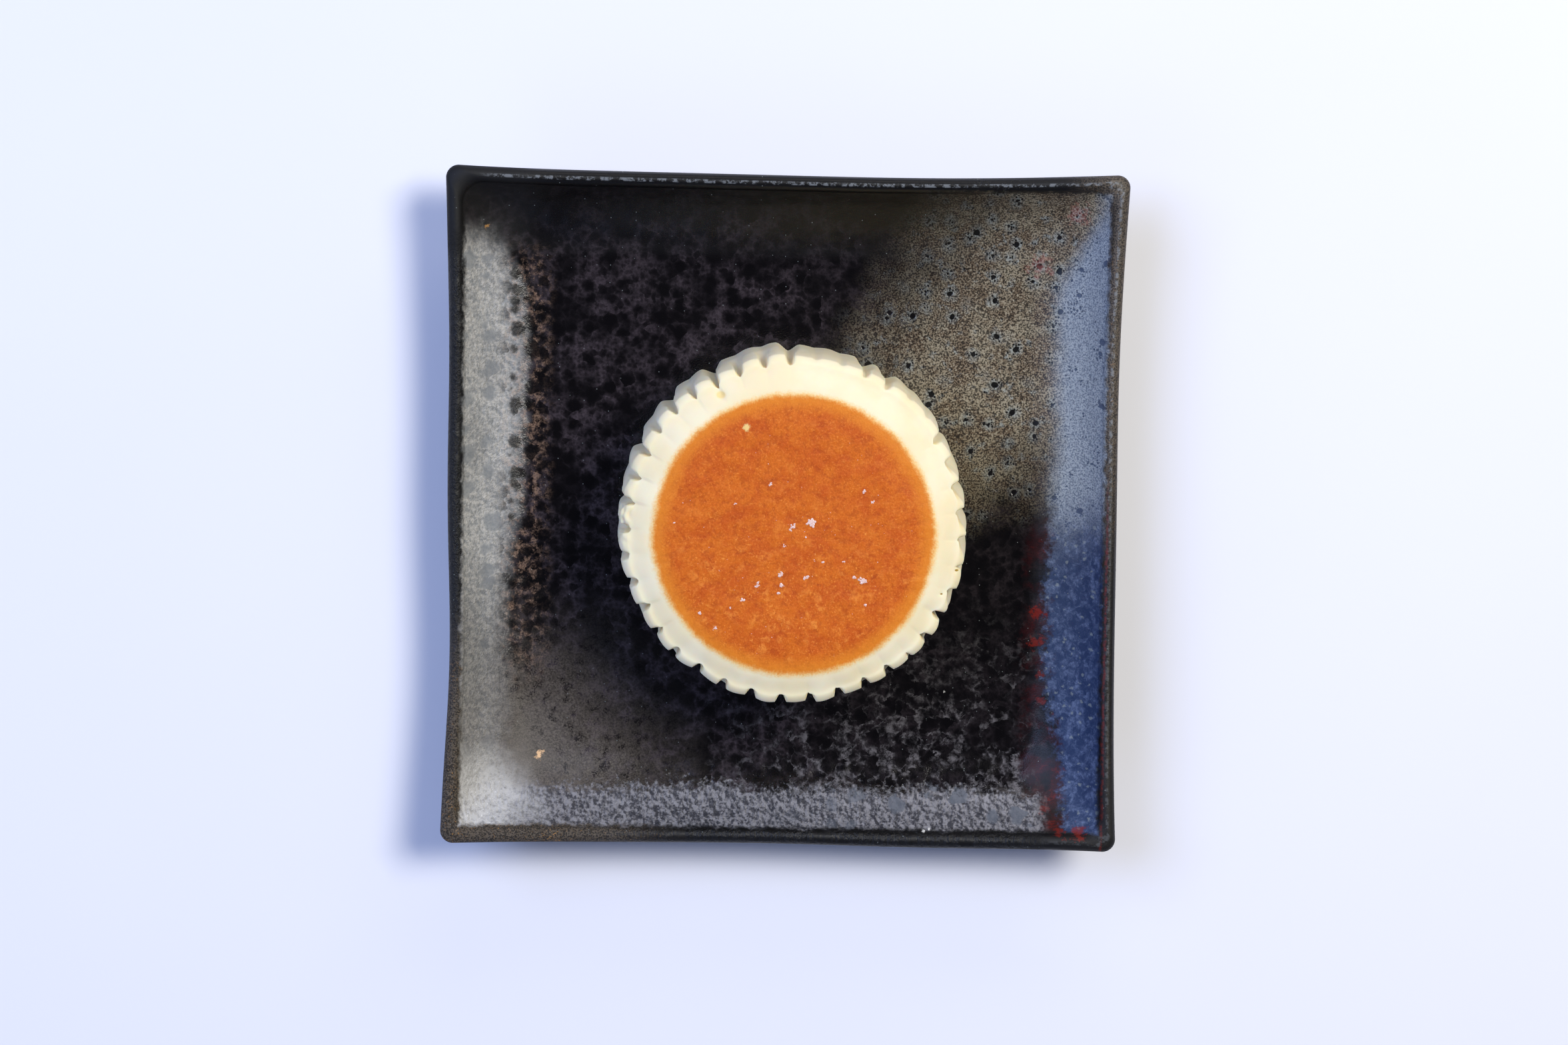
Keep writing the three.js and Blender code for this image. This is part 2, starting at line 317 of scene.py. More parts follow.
def plate_grid(profile):
    """Where each ring of the plate passes in each column: rounded squares with bowed sides."""
    half, height = np.array(profile).T[:, :, None]
    quarter_columns = PLATE_SIDE_COLUMNS + PLATE_CORNER_COLUMNS
    column = np.arange(4 * quarter_columns)
    quarter, step = column // quarter_columns, column % quarter_columns
    along = np.minimum(step / PLATE_SIDE_COLUMNS, 1) * 2 - 1
    turn = np.maximum(step - PLATE_SIDE_COLUMNS, 0) / PLATE_CORNER_COLUMNS * np.pi / 2

    outward = half / PLATE_HALF
    round_at_rim = CORNER_RADIUS / PLATE_HALF
    corner = half * (1 - (1 - round_at_rim) * outward**SQUARENESS)
    flare = np.abs(along) ** FLARE_POWER
    wave = SIDE_SLOPE[quarter] * np.sin(np.pi * along)
    wave = wave - SIDE_HUMP[quarter] * np.cos(2 * np.pi * along)
    drawn_in = (SIDE_BOW[quarter] + wave) * (1 - flare) * outward**BOW_POWER
    x = half - corner + corner * np.cos(turn) - drawn_in
    y = along * (half - corner) + corner * np.sin(turn)
    z = height + CORNER_LIFT * flare * ease(LIFT_START, PLATE_HALF, half)
    cos, sin = np.cos(quarter * np.pi / 2), np.sin(quarter * np.pi / 2)
    return np.stack([x * cos - y * sin, x * sin + y * cos, z], -1)


def plate_relief(grid, profile):
    """The hand's slow waves over the top face, and the glaze's orange peel on its slopes."""
    half, height = np.array(profile).T[:, :, None]
    ring = np.arange(len(profile))[:, None]
    inside_lip = ring > np.argmax(height)
    crest = PLATE_HALF - LIP_RADIUS
    shown = inside_lip * ease(crest, crest - SMOOTH_BY_LIP, half)
    on_slope = shown * ease(*PEEL_HALVES, half)
    return relief(grid, HAND_WAVES) * shown + relief(grid, ORANGE_PEEL) * on_slope


def make_plate():
    profile = plate_profile()
    grid = plate_grid(profile)
    grid = grid + normals_of(grid) * plate_relief(grid, profile)[..., None]
    below, above = (0, 0, FOOT_HEIGHT), (0, 0, WELL_HEIGHT)
    return ringed_mesh("glazed_plate", grid, below, above)


# ---- the cake's skin

def wall_radius(height):
    """The radius over the pleats' crests at a height."""
    share = np.clip(height / EDGE_HEIGHT, 0, 1)
    return mix(BASE_RADIUS, CAKE_RADIUS, share**WALL_POWER)


def cake_profile():
    """Half section over a crest: [radius, height], from the base over the shoulder to the top."""
    underside = [(radius, 0.0) for radius in UNDERSIDE_RINGS]
    turns = np.linspace(-np.pi / 2, 0, BASE_RINGS)
    middle = BASE_RADIUS - BASE_ROUND
    base = [(middle + BASE_ROUND * np.cos(a), BASE_ROUND + BASE_ROUND * np.sin(a)) for a in turns]
    top_of_wall = EDGE_HEIGHT - 2 * EDGE_ROUND
    heights = np.linspace(BASE_ROUND, top_of_wall, WALL_RINGS)[1:]
    wall = [(wall_radius(height), height) for height in heights]
    edge = [
        wall[-1],
        (wall_radius(EDGE_HEIGHT - EDGE_ROUND), EDGE_HEIGHT - EDGE_ROUND),
        (CAKE_RADIUS - EDGE_ROUND / 3, EDGE_HEIGHT - EDGE_ROUND / 3),
    ]
    shoulder = smooth(edge + SHOULDER, SHOULDER_RINGS)[1:]
    last_radius, last_height = shoulder[-1]
    radii = np.linspace(last_radius, 0, TOP_RINGS + 1)[1:-1]
    top = [(r, CAKE_HEIGHT - (CAKE_HEIGHT - last_height) * (r / last_radius) ** 2) for r in radii]
    return underside + base + wall + shoulder + top


def valley_angle(number):
    """Direction of a valley, in degrees."""
    even = number * 360 / PLEATS
    angle = even + VALLEY_SHIFT
    for waves, size, phase in VALLEY_WAVES:
        angle = angle + size * np.cos(np.radians(waves * even - phase))
    return angle


# Columns of the table of valleys. A depth or a reach is followed by the same near the edge.
DEPTH, FLOOR, BEFORE, AFTER = 0, 2, 3, 5
TABLE_COLUMNS = 7


def valley_shapes():
    """The table of valleys: depth, floor, reach before and reach after, in the columns above."""
    shapes = np.zeros((PLEATS, TABLE_COLUMNS))
    for number in range(PLEATS):
        uneven = 1 + DEPTH_SCATTER * scatter(number, 1)
        low_depth = OPEN_DEPTH * uneven if number in OPEN_VALLEYS else SHUT_DEPTH
        high_depth = FAINT_DEPTH if number in FAINT_VALLEYS else PLEAT_DEPTH * uneven
        if number in HALF_VALLEYS:
            high_depth *= HALF_SHARE
        before = LEAN_SHARE if number in LEANING_VALLEYS else SIDE_SHARE
        reach = (LOW_SIDE_SHARE, before, LOW_SIDE_SHARE, SIDE_SHARE)
        shapes[number] = (low_depth, high_depth, FLOOR_SHARE, *reach)
        if number in SLITS:
            shapes[number] = (SHUT_DEPTH, SLIT_DEPTH, 0, *[SLIT_SHARE] * len(reach))
    return shapes


def by_height(shape, first_column, height):
    """A column's value at a height, on the way to its value near the edge."""
    near_top = ease(*CLOSING_HEIGHTS, height)
    return mix(shape[:, first_column], shape[:, first_column + 1], near_top)


def drawn_in_by(shape, side, away, radius, height):
    """How far a valley draws the skin in at a share of the way from it, BEFORE or AFTER it."""
    floor_radius = wall_radius(height) - by_height(shape, DEPTH, height)
    floor = shape[:, FLOOR] * ease(*CLOSING_HEIGHTS, height)
    share = 1 - ease(floor, by_height(shape, side, height), away)
    beyond = radius - floor_radius
    return share * (np.sqrt(beyond**2 + EDGE_SOFTNESS**2) + beyond) / 2


def swell(degrees):
    """How far the wall stands out of round in a direction."""
    out = 0
    for centre, size, spread in SWELLS:
        away = (degrees - centre + 180) % 360 - 180
        out = out + size * np.exp(-((away / spread) ** 2))
    return out


def cake_grid(profile):
    """Where each ring of the cake passes in each column, and that column's direction."""
    radius, height = np.array(profile).T[:, :, None]
    column = np.arange(PLEATS * PLEAT_COLUMNS)
    pleat, across = column // PLEAT_COLUMNS, column % PLEAT_COLUMNS / PLEAT_COLUMNS
    degrees = mix(valley_angle(pleat), valley_angle(pleat + 1), across)
    shapes = valley_shapes()
    this, following = shapes[pleat], shapes[(pleat + 1) % PLEATS]

    on_wall = ease(CROWN_RADIUS, CAKE_RADIUS, radius)
    crest = CREST_SCATTER * scatter(pleat, 2) * np.sin(np.pi * across)
    depths = by_height(this, DEPTH, height), by_height(following, DEPTH, height)
    depth = mix(*depths, ease(0.2, 0.8, across))
    skewed = 2 * across - 1 + CREST_SKEW * scatter(pleat, 3)
    round_off = CREST_ROUND * depth / PLEAT_DEPTH * skewed**2
    out_of_round = (swell(degrees) + crest - round_off) * on_wall
    drawn_in = np.maximum(
        drawn_in_by(this, AFTER, across, radius, height),
        drawn_in_by(following, BEFORE, 1 - across, radius, height),
    )
    reach = radius + out_of_round - drawn_in
    angle = np.radians(degrees)
    grid = np.stack([reach * np.cos(angle), reach * np.sin(angle), height + 0 * reach], -1)
    return grid, degrees


def dent(grid, place, across, depth):
    """A round hollow in the top, `across` wide."""
    away = np.hypot(grid[..., 0] - place[0], grid[..., 1] - place[1])
    return -depth * np.exp(-((away / (across / 2)) ** 2))


def cake_relief(grid, profile, degrees):
    """Baked unevenness, the yellow pit, the cracks, and a torn patch high on the left wall."""
    radius, height = np.array(profile).T[:, :, None]
    off_base = ease(0, 3, height)
    on_top = ease(CROWN_RADIUS + 1, CROWN_RADIUS - 3, radius)
    on_top = on_top * ease(EDGE_HEIGHT, EDGE_HEIGHT + 1, height)
    skin = relief(grid, SKIN_WAVES) - SKIN_SUNK
    out = relief(grid, BAKED_WAVES) * off_base + skin * on_top

    upper = ease(EDGE_HEIGHT - 0.2, EDGE_HEIGHT + 0.4, height)
    out += upper * dent(grid, YELLOW_PIT, PIT_WIDTH, PIT_DEPTH)
    for x, y, across in CRACKS:
        out += upper * dent(grid, (x, y), across, CRACK_DEPTH)

    torn = np.exp(-(((degrees - TORN_DIRECTION) / TORN_SPREAD) ** 2))
    torn = torn * ease(17, 22, height) * ease(32.5, 34, radius)
    out += torn * relief(grid, TORN_WAVES)
    return np.minimum(out, HIGHEST_RELIEF)


def make_cake():
    profile = cake_profile()
    grid, degrees = cake_grid(profile)
    grid = grid + normals_of(grid) * cake_relief(grid, profile, degrees)[..., None]
    grid[..., 2] = np.minimum(grid[..., 2], CAKE_HEIGHT - 0.01)
    below, above = CAKE_PLACE, CAKE_PLACE + (0, 0, grid[-1, :, 2].mean())
    return ringed_mesh("baked_cheesecake", grid + CAKE_PLACE, below, above)


# ---- sugar flecks on the top, pale partly as painted glints

def top_height(x, y):
    """Height of the cake's top over its base, near enough for small flecks."""
    (outer, outer_height), (inner, inner_height) = SHOULDER[-2:]
    heights = [CAKE_HEIGHT, inner_height, outer_height]
    return np.interp(np.hypot(x, y), [0, inner, outer], heights)


def grain(random, middle, size):
    """Points and faces of one rough grain: a double cone with few sides, bent out of shape."""
    turn = np.arange(GRAIN_SIDES) * 2 * np.pi / GRAIN_SIDES + random.uniform(0, np.pi)
    around = random.uniform(0.7, 1.2, GRAIN_SIDES) * size
    up = random.uniform(-0.1, 0.2, GRAIN_SIDES) * size
    ring = np.stack([around * np.cos(turn), around * np.sin(turn), up], -1)
    tips = np.array([[0, 0, -0.4 * size], [0, 0, random.uniform(0.4, 0.7) * size]])
    points = np.vstack([ring, tips]) + middle
    low_tip, high_tip = GRAIN_SIDES, GRAIN_SIDES + 1
    faces = []
    for side in range(GRAIN_SIDES):
        after = (side + 1) % GRAIN_SIDES
        faces += [(side, after, high_tip), (after, side, low_tip)]
    return points, faces


def fleck_places():
    """Where the grains of sugar lie, and their sizes: [x, y, size]."""
    random = np.random.default_rng(PLACES_SEED)
    places = []
    for x, y, length, width, turn in FLECK_CLUSTERS:
        cos, sin = math.cos(math.radians(turn)), math.sin(math.radians(turn))
        for _ in range(int(FEWEST_GRAINS + GRAINS_BY_AREA * length * width)):
            along, across = np.clip(random.normal(0, 0.5, 2), -1, 1) * (length, width)
            size = random.uniform(0.12, 0.21) + 0.13 * width
            places.append((x + along * cos - across * sin, y + along * sin + across * cos, size))
    for _ in range(LONE_GRAINS):
        turn = random.uniform(0, 2 * np.pi)
        radius = LONE_RADIUS * math.sqrt(random.uniform())
        x, y = radius * math.cos(turn), radius * math.sin(turn) + LONE_MIDDLE_Y
        if math.hypot(x, y) < BROWN_RADIUS - 2:
            places.append((x, y, random.uniform(0.05, 0.11)))
    return places


def make_flecks():
    random = np.random.default_rng(GRAINS_SEED)
    points, faces = [], []
    for number, (x, y, size) in enumerate(fleck_places()):
        middle = CAKE_PLACE + (x, y, top_height(x, y) - SKIN_SUNK)
        grain_points, grain_faces = grain(random, middle, size)
        points.append(grain_points)
        first = number * len(grain_points)
        faces += [tuple(first + corner for corner in face) for face in grain_faces]
    points = np.vstack(points)
    points[:, 2] = np.minimum(points[:, 2], cake_high.z / MM)
    mesh = bpy.data.meshes.new("sugar_flecks")
    mesh.from_pydata((points * MM).tolist(), [], faces)
    return add_object("sugar_flecks", mesh)


# ---- helpers for materials

def srgb(red, green, blue):
    """A colour as it reads in a picture, 0 to 255, as the linear colour that shaders take."""
    linear = []
    for channel in (red, green, blue):
        value = channel / 255
        linear.append(value / 12.92 if value <= 0.04045 else ((value + 0.055) / 1.055) ** 2.4)
    return (*linear, 1.0)


class Graph:
    """A material's node tree, built by short calls. Lengths in it are millimetres."""

    def __init__(self, name, middle=(0, 0)):
        """`where` is the place on the surface. `x` and `y` are its own, from `middle`."""
        self.material = bpy.data.materials.new(name)
        self.material.use_nodes = True
        self.tree = self.material.node_tree
        self.tree.nodes.clear()
        scaled = {0: self.node("TexCoord", {}).outputs["Object"], 3: 1 / MM}
        self.where = self.node("VectorMath", scaled, operation="SCALE").outputs[0]
        x, y, self.z = self.parts(self.where)
        self.x, self.y = self.less(x, middle[0]), self.less(y, middle[1])

    def node(self, kind, inputs, **settings):
        node = self.tree.nodes.new("ShaderNode" + kind)
        for name, value in settings.items():
            setattr(node, name, value)
        for name, value in inputs.items():
            self.plug(node.inputs[name], value)
        return node

    def plug(self, socket, value):
        if isinstance(value, bpy.types.NodeSocket):
            self.tree.links.new(value, socket)
        else:
            socket.default_value = value

    def parts(self, vector):
        return tuple(self.node("SeparateXYZ", {0: vector}).outputs)

    def math(self, operation, first, second=0.0, third=0.0):
        return self.node("Math", {0: first, 1: second, 2: third}, operation=operation).outputs[0]

    def add(self, *values):
        total = values[0]
        for value in values[1:]:
            total = self.math("ADD", total, value)
        return total

    def times(self, *values):
        total = values[0]
        for value in values[1:]:
            total = self.math("MULTIPLY", total, value)
        return total

    def less(self, first, second):
        return self.math("SUBTRACT", first, second)

    def ease(self, value, low, high, start=0.0, end=1.0):
        """`start` where the value is at or under `low`, `end` at or over `high`."""
        inputs = {"Value": value, "From Min": low, "From Max": high, "To Min": start, "To Max": end}
        return self.node("MapRange", inputs, interpolation_type="SMOOTHSTEP").outputs[0]

    def noise(self, where, size, detail=2.0, rough=0.5):
        """Noise from 0 to 1 with lumps about `size` across."""
        inputs = {"Vector": where, "Scale": 1 / size, "Detail": detail, "Roughness": rough}
        return self.node("TexNoise", inputs).outputs["Fac"]

    def warped(self, where, size, by):
        """The places, pushed about by noise with lumps `size` across, by up to `by`."""
        inputs = {"Vector": where, "Scale": 1 / size, "Detail": 2.0}
        colour = self.node("TexNoise", inputs).outputs["Color"]
        half = (0.5, 0.5, 0.5)
        centred = self.node("VectorMath", {0: colour, 1: half}, operation="SUBTRACT").outputs[0]
        push = self.node("VectorMath", {0: centred, 3: 4 * by}, operation="SCALE").outputs[0]
        return self.node("VectorMath", {0: where, 1: push}, operation="ADD").outputs[0]

    def cells(self, where, size):
        """Points scattered in plan, `size` apart: distance to the nearest, its random number."""
        node = self.node("TexVoronoi", {"Vector": where, "Scale": 1 / size}, voronoi_dimensions="2D")
        distance = self.times(node.outputs["Distance"], size)
        return distance, self.parts(node.outputs["Color"])[0]

    def round_spots(self, where, size, small, large, soft):
        """1 on round spots `size` apart, of radius `small` to `large`, with a soft edge."""
        away, pick = self.cells(where, size)
        return self.ease(self.less(away, self.ease(pick, 0, 1, small, large)), soft, -soft)

    def between(self, *spots):
        """1 outside all the spots."""
        return self.times(*[self.less(1.0, spot) for spot in spots])

    def painted_lump_light(self, where, size, shift):
        """Painted light and shade on lumps about `size` across: 1 where they face the far right, 0
        where they face away.
        """
        sideways = (shift, shift, 0)
        beside = self.node("VectorMath", {0: where, 1: sideways}, operation="ADD").outputs[0]
        fall = self.less(self.noise(where, size, 4, 0.6), self.noise(beside, size, 4, 0.6))
        return self.ease(fall, -0.12, 0.12)

    def upward(self):
        """How far the surface faces up, from -1 to 1."""
        return self.parts(self.node("NewGeometry", {}).outputs["Normal"])[2]

    def stretched(self, where, factors):
        """The places with each direction scaled, which makes a pattern longer where it is under 1."""
        return self.node("VectorMath", {0: where, 1: factors}, operation="MULTIPLY").outputs[0]

    def mix(self, share, first, second):
        node = self.node("Mix", {}, data_type="RGBA")
        self.plug(node.inputs[0], share)
        self.plug(node.inputs[6], first)
        self.plug(node.inputs[7], second)
        return node.outputs[2]

    def away(self, spot, stretch=(1.0, 1.0)):
        """Distance from a spot in plan, with each direction divided by its stretch."""
        dx = self.times(self.less(self.x, spot[0]), 1 / stretch[0])
        dy = self.times(self.less(self.y, spot[1]), 1 / stretch[1])
        return self.math("SQRT", self.add(self.times(dx, dx), self.times(dy, dy)))

    def bump(self, height, depth):
        """A normal for a height from 0 to 1 that stands for `depth` millimetres."""
        inputs = {"Height": height, "Distance": depth * MM, "Strength": 1.0}
        return self.node("Bump", inputs).outputs[0]

    def finish(self, **inputs):
        """The material, with the main shader's inputs named with _ for a space."""
        named = {name.replace("_", " "): value for name, value in inputs.items()}
        shader = self.node("BsdfPrincipled", named)
        output = self.tree.nodes.new("ShaderNodeOutputMaterial")
        self.tree.links.new(shader.outputs[0], output.inputs[0])
        return self.material


# ---- the glaze

BLACK = srgb(8, 6, 7)
NET = srgb(64, 56, 60)
LICHEN = srgb(120, 116, 118)
HAZE = srgb(105, 96, 86)
OLIVE_BEIGE = srgb(140, 129, 108)
OLIVE_BROWN = srgb(108, 92, 73)
OLIVE_LIGHT = srgb(150, 143, 124)
OLIVE_DARK = srgb(20, 19, 19)
HALO = srgb(144, 152, 150)
PIT = srgb(2, 2, 3)
# painted reflection of the sky on the right slope, with the glaze's grain, dots and clouds in it
PALE_SKY_REFLECTION = srgb(156, 165, 174)
GRAINY_SKY_REFLECTION = srgb(98, 109, 125)
DOTS_IN_SKY_REFLECTION = srgb(44, 62, 92)
DEEP_SKY_REFLECTION = srgb(38, 54, 88)
CLOUDY_SKY_REFLECTION = srgb(98, 112, 144)
RUST = srgb(122, 26, 10)
RUST_HAZE = srgb(50, 12, 14)
ROSE = srgb(172, 100, 92)
DEEP_ROSE = srgb(172, 96, 84)
COPPER = srgb(180, 146, 122)
# painted reflection of the window on the left slope; the second also paints the highlight on the
# lip's crest
SILVER_REFLECTION = srgb(200, 197, 192)
STEEL_REFLECTION = srgb(130, 134, 138)
# painted reflection of the light on the far side, on the near slope
NEAR_SILVER_REFLECTION = srgb(146, 144, 147)
NEAR_DARK_REFLECTION = srgb(60, 60, 66)
NEAR_STEEL_REFLECTION = srgb(98, 103, 112)
# painted highlight on the near left corner
CORNER_HIGHLIGHT = srgb(204, 202, 198)
LIP_BLACK = srgb(10, 9, 10)
LIP_BROWN = srgb(92, 82, 70)
# gold flecks in the lip's thin glaze, and a painted glint in the far left corner
GOLD_FLECKS_AND_GLINT = srgb(196, 142, 72)
# a painted glint in the near left corner
PALE_GOLD_GLINT = srgb(236, 190, 140)
# painted glints in the near left corner, and three lone white specks
SPARK = srgb(232, 230, 224)
CLAY_BODY = srgb(168, 142, 116)

# Lone flecks, stains and two painted glints in the glaze, in plan: [x, y, radius, share, colour].
STAINS = [
    # painted glints of a warm lamp in the far left and near left corners
    (-61.9, 57.5, 0.7, 0.7, GOLD_FLECKS_AND_GLINT), (-50.3, -52.8, 1.0, 0.9, PALE_GOLD_GLINT),
    (52.8, 50.8, 2.6, 0.3, ROSE), (60.1, 62.0, 2.2, 0.3, DEEP_ROSE),
    (53.7, -21.6, 1.6, 0.7, RUST), (53.6, -27.8, 1.5, 0.65, RUST), (54.4, -34.6, 1.1, 0.5, RUST),
    (54.9, -40.2, 1.0, 0.45, RUST), (55.3, -62.0, 1.0, 0.4, RUST),
    (62.5, -66.0, 1.6, 0.7, RUST), (58.5, -66.4, 1.2, 0.6, RUST),
    (34.5, -38.5, 0.3, 0.6, SPARK), (30.2, -66.4, 0.35, 0.9, SPARK), (31.4, -66.2, 0.25, 0.9, SPARK),
]
BRIGHT_CORNER = (-63, -65)
NEAR_RIGHT_CORNER = (62, -62)
FAR_LEFT_CORNER = (-64, 64)

GLAZE_IOR = 1.6
GLAZE_SPECULAR = 0.28
GLAZE_ROUGHNESS = 0.13
GLAZE_RELIEF = 0.6  # the bump's depth for a height of 1, in millimetres


class Glaze(Graph):
    """The glaze's node tree, with the places and noises that its layers share."""

    def __init__(self, name):
        super().__init__(name)
        self.facing_up = self.upward()
        self.drift = self.less(self.noise(self.where, 12, 3), 0.5)
        self.ragged = self.less(self.noise(self.where, 2.2, 4, 0.65), 0.5)
        self.grain = self.noise(self.where, 0.34, 2)
        self.plaster = self.noise(self.where, 1.0, 4, 0.65)
        self.from_corner = self.wavering(self.away(BRIGHT_CORNER), 14, 3)
        self.far_or_right = self.math("MAXIMUM", self.x, self.y)

    def wavering(self, value, drift, ragged):
        """The value, pushed to and fro by slow drifts and by a ragged edge."""
        return self.add(value, self.times(self.drift, drift), self.times(self.ragged, ragged))


def oil_spot_ground(g):
    """Black ground with round oil spots in a violet-grey net, and lichen at the near right."""
    warped = g.warped(g.where, 1.6, 0.4)
    threads = g.ease(g.noise(g.where, 0.55, 3, 0.65), 0.28, 0.70, 0.45, 1.0)
    net = g.between(
        g.round_spots(warped, 3.6, -0.6, 1.9, 1.0),
        g.times(g.round_spots(warped, 1.8, 0.0, 1.1, 0.6), 0.85),
        g.times(g.round_spots(g.warped(g.where, 0.6, 0.12), 0.85, 0.0, 0.46, 0.22), 0.55),
    )
    cloud = g.ease(g.noise(g.where, 7, 4, 0.6), 0.36, 0.62, 0.12, 1.0)
    faint = g.times(g.ease(g.x, 22, -6, 0.35, 1.0), g.ease(g.y, 66, 42, 0.2, 1.0))
    ground = g.mix(g.times(net, threads, cloud, faint), BLACK, NET)

    crinkled = g.warped(g.warped(g.where, 2.4, 0.8), 0.7, 0.3)
    lichen = g.between(
        g.round_spots(crinkled, 3.0, 0.6, 2.5, 0.8),
        g.round_spots(crinkled, 1.4, 0.0, 1.0, 0.5),
    )
    fibres = g.ease(g.noise(g.where, 1.5, 5, 0.75), 0.40, 0.62, 0.05, 1.0)
    fuller = g.ease(g.add(g.y, g.times(g.noise(g.where, 8, 3), 34)), 4, -46, 0, 0.85)
    to_the_right = g.times(g.ease(g.x, -24, 12), g.ease(g.x, 57, 50))
    return g.mix(g.times(lichen, fibres, to_the_right, fuller), ground, LICHEN), net


def near_left_haze(g, colour):
    """Fine brown haze round the near left corner, with dark holes. Also returns its share."""
    holes = g.times(g.ease(g.noise(g.where, 2.2, 2), 0.54, 0.64), g.ease(g.from_corner, 12, 24))
    dust = g.ease(g.noise(g.where, 0.4, 4, 0.75), 0.36, 0.66, 0.35, 1.0)
    grainy = g.ease(g.grain, 0.46, 0.56, g.less(1.0, g.times(holes, 0.8)), 1.0)
    haze = g.times(g.ease(g.from_corner, 54, 12), dust, grainy)
    return g.mix(haze, colour, HAZE), haze


def far_right_olive(g, colour):
    """Olive crystals over the far right. Also returns their share, dark dots and pale halos."""
    olive = g.wavering(g.add(g.x, g.times(g.less(g.y, 30), -0.6)), 20, 7)
    olive = g.times(g.ease(olive, 2, 36), g.ease(g.wavering(g.y, 22, 8), -8, 19))
    speckle, pitted, halo = olive_speckle(g)
    return g.mix(olive, colour, speckle), olive, pitted, halo


def olive_speckle(g):
    """Olive-grey crystals with dark pits in pale halos. Also returns dots and halos."""
    mottle = g.ease(g.noise(g.where, 4.5, 3, 0.6), 0.36, 0.62)
    ground = g.mix(mottle, OLIVE_BEIGE, OLIVE_BROWN)
    ground = g.mix(g.ease(g.grain, 0.54, 0.70), ground, OLIVE_LIGHT)

    pit_away, pit_pick = g.cells(g.warped(g.where, 6, 0.6), 4.4)
    big = g.ease(pit_pick, 0.30, 1.0)
    cluster = g.ease(g.noise(g.where, 2.4, 4, 0.6), 0.55, 0.68)
    halo = g.math("MAXIMUM", g.times(g.ease(pit_away, 2.2, 0.5), g.ease(big, 0.05, 0.4)), cluster)
    halo = g.times(halo, g.ease(g.noise(g.where, 0.8, 3, 0.7), 0.36, 0.60, 0.35, 1.0))
    ground = g.mix(g.times(halo, 0.75), ground, HALO)

    dark = g.ease(g.noise(g.where, 0.34, 3, 0.6), 0.53, 0.44)
    ground = g.mix(g.times(dark, g.ease(halo, 0, 1, 0.88, 0.55)), ground, OLIVE_DARK)
    dots = g.round_spots(g.warped(g.where, 0.8, 0.06), 0.58, 0.02, 0.24, 0.05)
    dots = g.times(dots, g.ease(halo, 0.10, 0.5))
    pits = g.ease(g.less(pit_away, g.times(big, 0.66)), 0.06, -0.10)
    pits = g.times(pits, g.ease(big, 0.1, 0.25))
    pitted = g.math("MAXIMUM", pits, dots)
    return g.mix(pitted, ground, PIT), pitted, halo


def sky_reflection_colour(g, pitted, halo):
    """Painted reflection of the sky: pale blue with dark dots at the far end of the right slope,
    cloudy deep blue at the near.
    """
    upper = g.mix(g.ease(g.grain, 0.34, 0.62), GRAINY_SKY_REFLECTION, PALE_SKY_REFLECTION)
    upper = g.mix(g.times(halo, 0.35), upper, PALE_SKY_REFLECTION)
    upper = g.mix(g.times(pitted, 0.8), upper, DOTS_IN_SKY_REFLECTION)
    clouds = g.ease(g.noise(g.warped(g.where, 3, 0.8), 2.2, 5, 0.72), 0.42, 0.64)
    fine_clouds = g.ease(g.noise(g.where, 0.8, 4, 0.7), 0.38, 0.66, 0.3, 1.0)
    lower = g.mix(g.times(clouds, fine_clouds), DEEP_SKY_REFLECTION, CLOUDY_SKY_REFLECTION)
    lower = g.mix(g.ease(g.grain, 0.46, 0.34, 0, 0.45), lower, DOTS_IN_SKY_REFLECTION)
    pale_dots = g.round_spots(g.warped(g.where, 0.7, 0.25), 1.7, -0.5, 0.32, 0.14)
    lower = g.mix(g.times(pale_dots, 0.5), lower, HALO)
    return g.mix(g.ease(g.wavering(g.y, 14, 4), 8, -14), upper, lower)


def right_slope(g, colour, pitted, halo):
    """The blue slope, a painted reflection of the sky over the glaze's own dots and clouds, and the
    rust where it breaks over the black. Also returns its share.
    """
    sharper = g.ease(g.y, 12, -12)
    torn = g.times(sharper, g.add(g.times(g.ragged, 3), g.times(g.less(g.plaster, 0.5), 6)))
    wider_far = g.ease(g.y, 44, 64, 0, -8.5)
    narrower_near = g.ease(g.y, -34, -56, 0, -3.6)
    edge = g.add(g.wavering(g.x, 3, 2.2), torn, wider_far, narrower_near, g.times(sharper, 1.5))
    # share of the painted reflection of the sky
    blue = g.ease(edge, g.ease(sharper, 0, 1, 53.8, 55.9), g.ease(sharper, 0, 1, 59.4, 58.6))

    torn_x = g.add(g.x, torn)
    band = g.times(g.ease(torn_x, 49.5, 53.5), g.ease(g.y, 4, -14))
    patches = g.noise(g.where, 5.5, 4, 0.65)
    colour = g.mix(g.times(band, g.ease(patches, 0.38, 0.60), 0.8), colour, RUST_HAZE)
    streaky = g.noise(g.stretched(g.warped(g.where, 1.5, 0.5), (0.7, 1.4, 1.0)), 1.5, 4, 0.7)
    smeared = g.add(patches, g.times(g.less(streaky, 0.5), 1.1))
    red = g.times(band, g.ease(torn_x, 51.5, 54.5), g.ease(smeared, 0.56, 0.80))
    colour = g.mix(g.times(red, g.ease(g.grain, 0.3, 0.6, 0.5, 1.0), 0.45), colour, RUST)
    return g.mix(blue, colour, sky_reflection_colour(g, pitted, halo)), blue


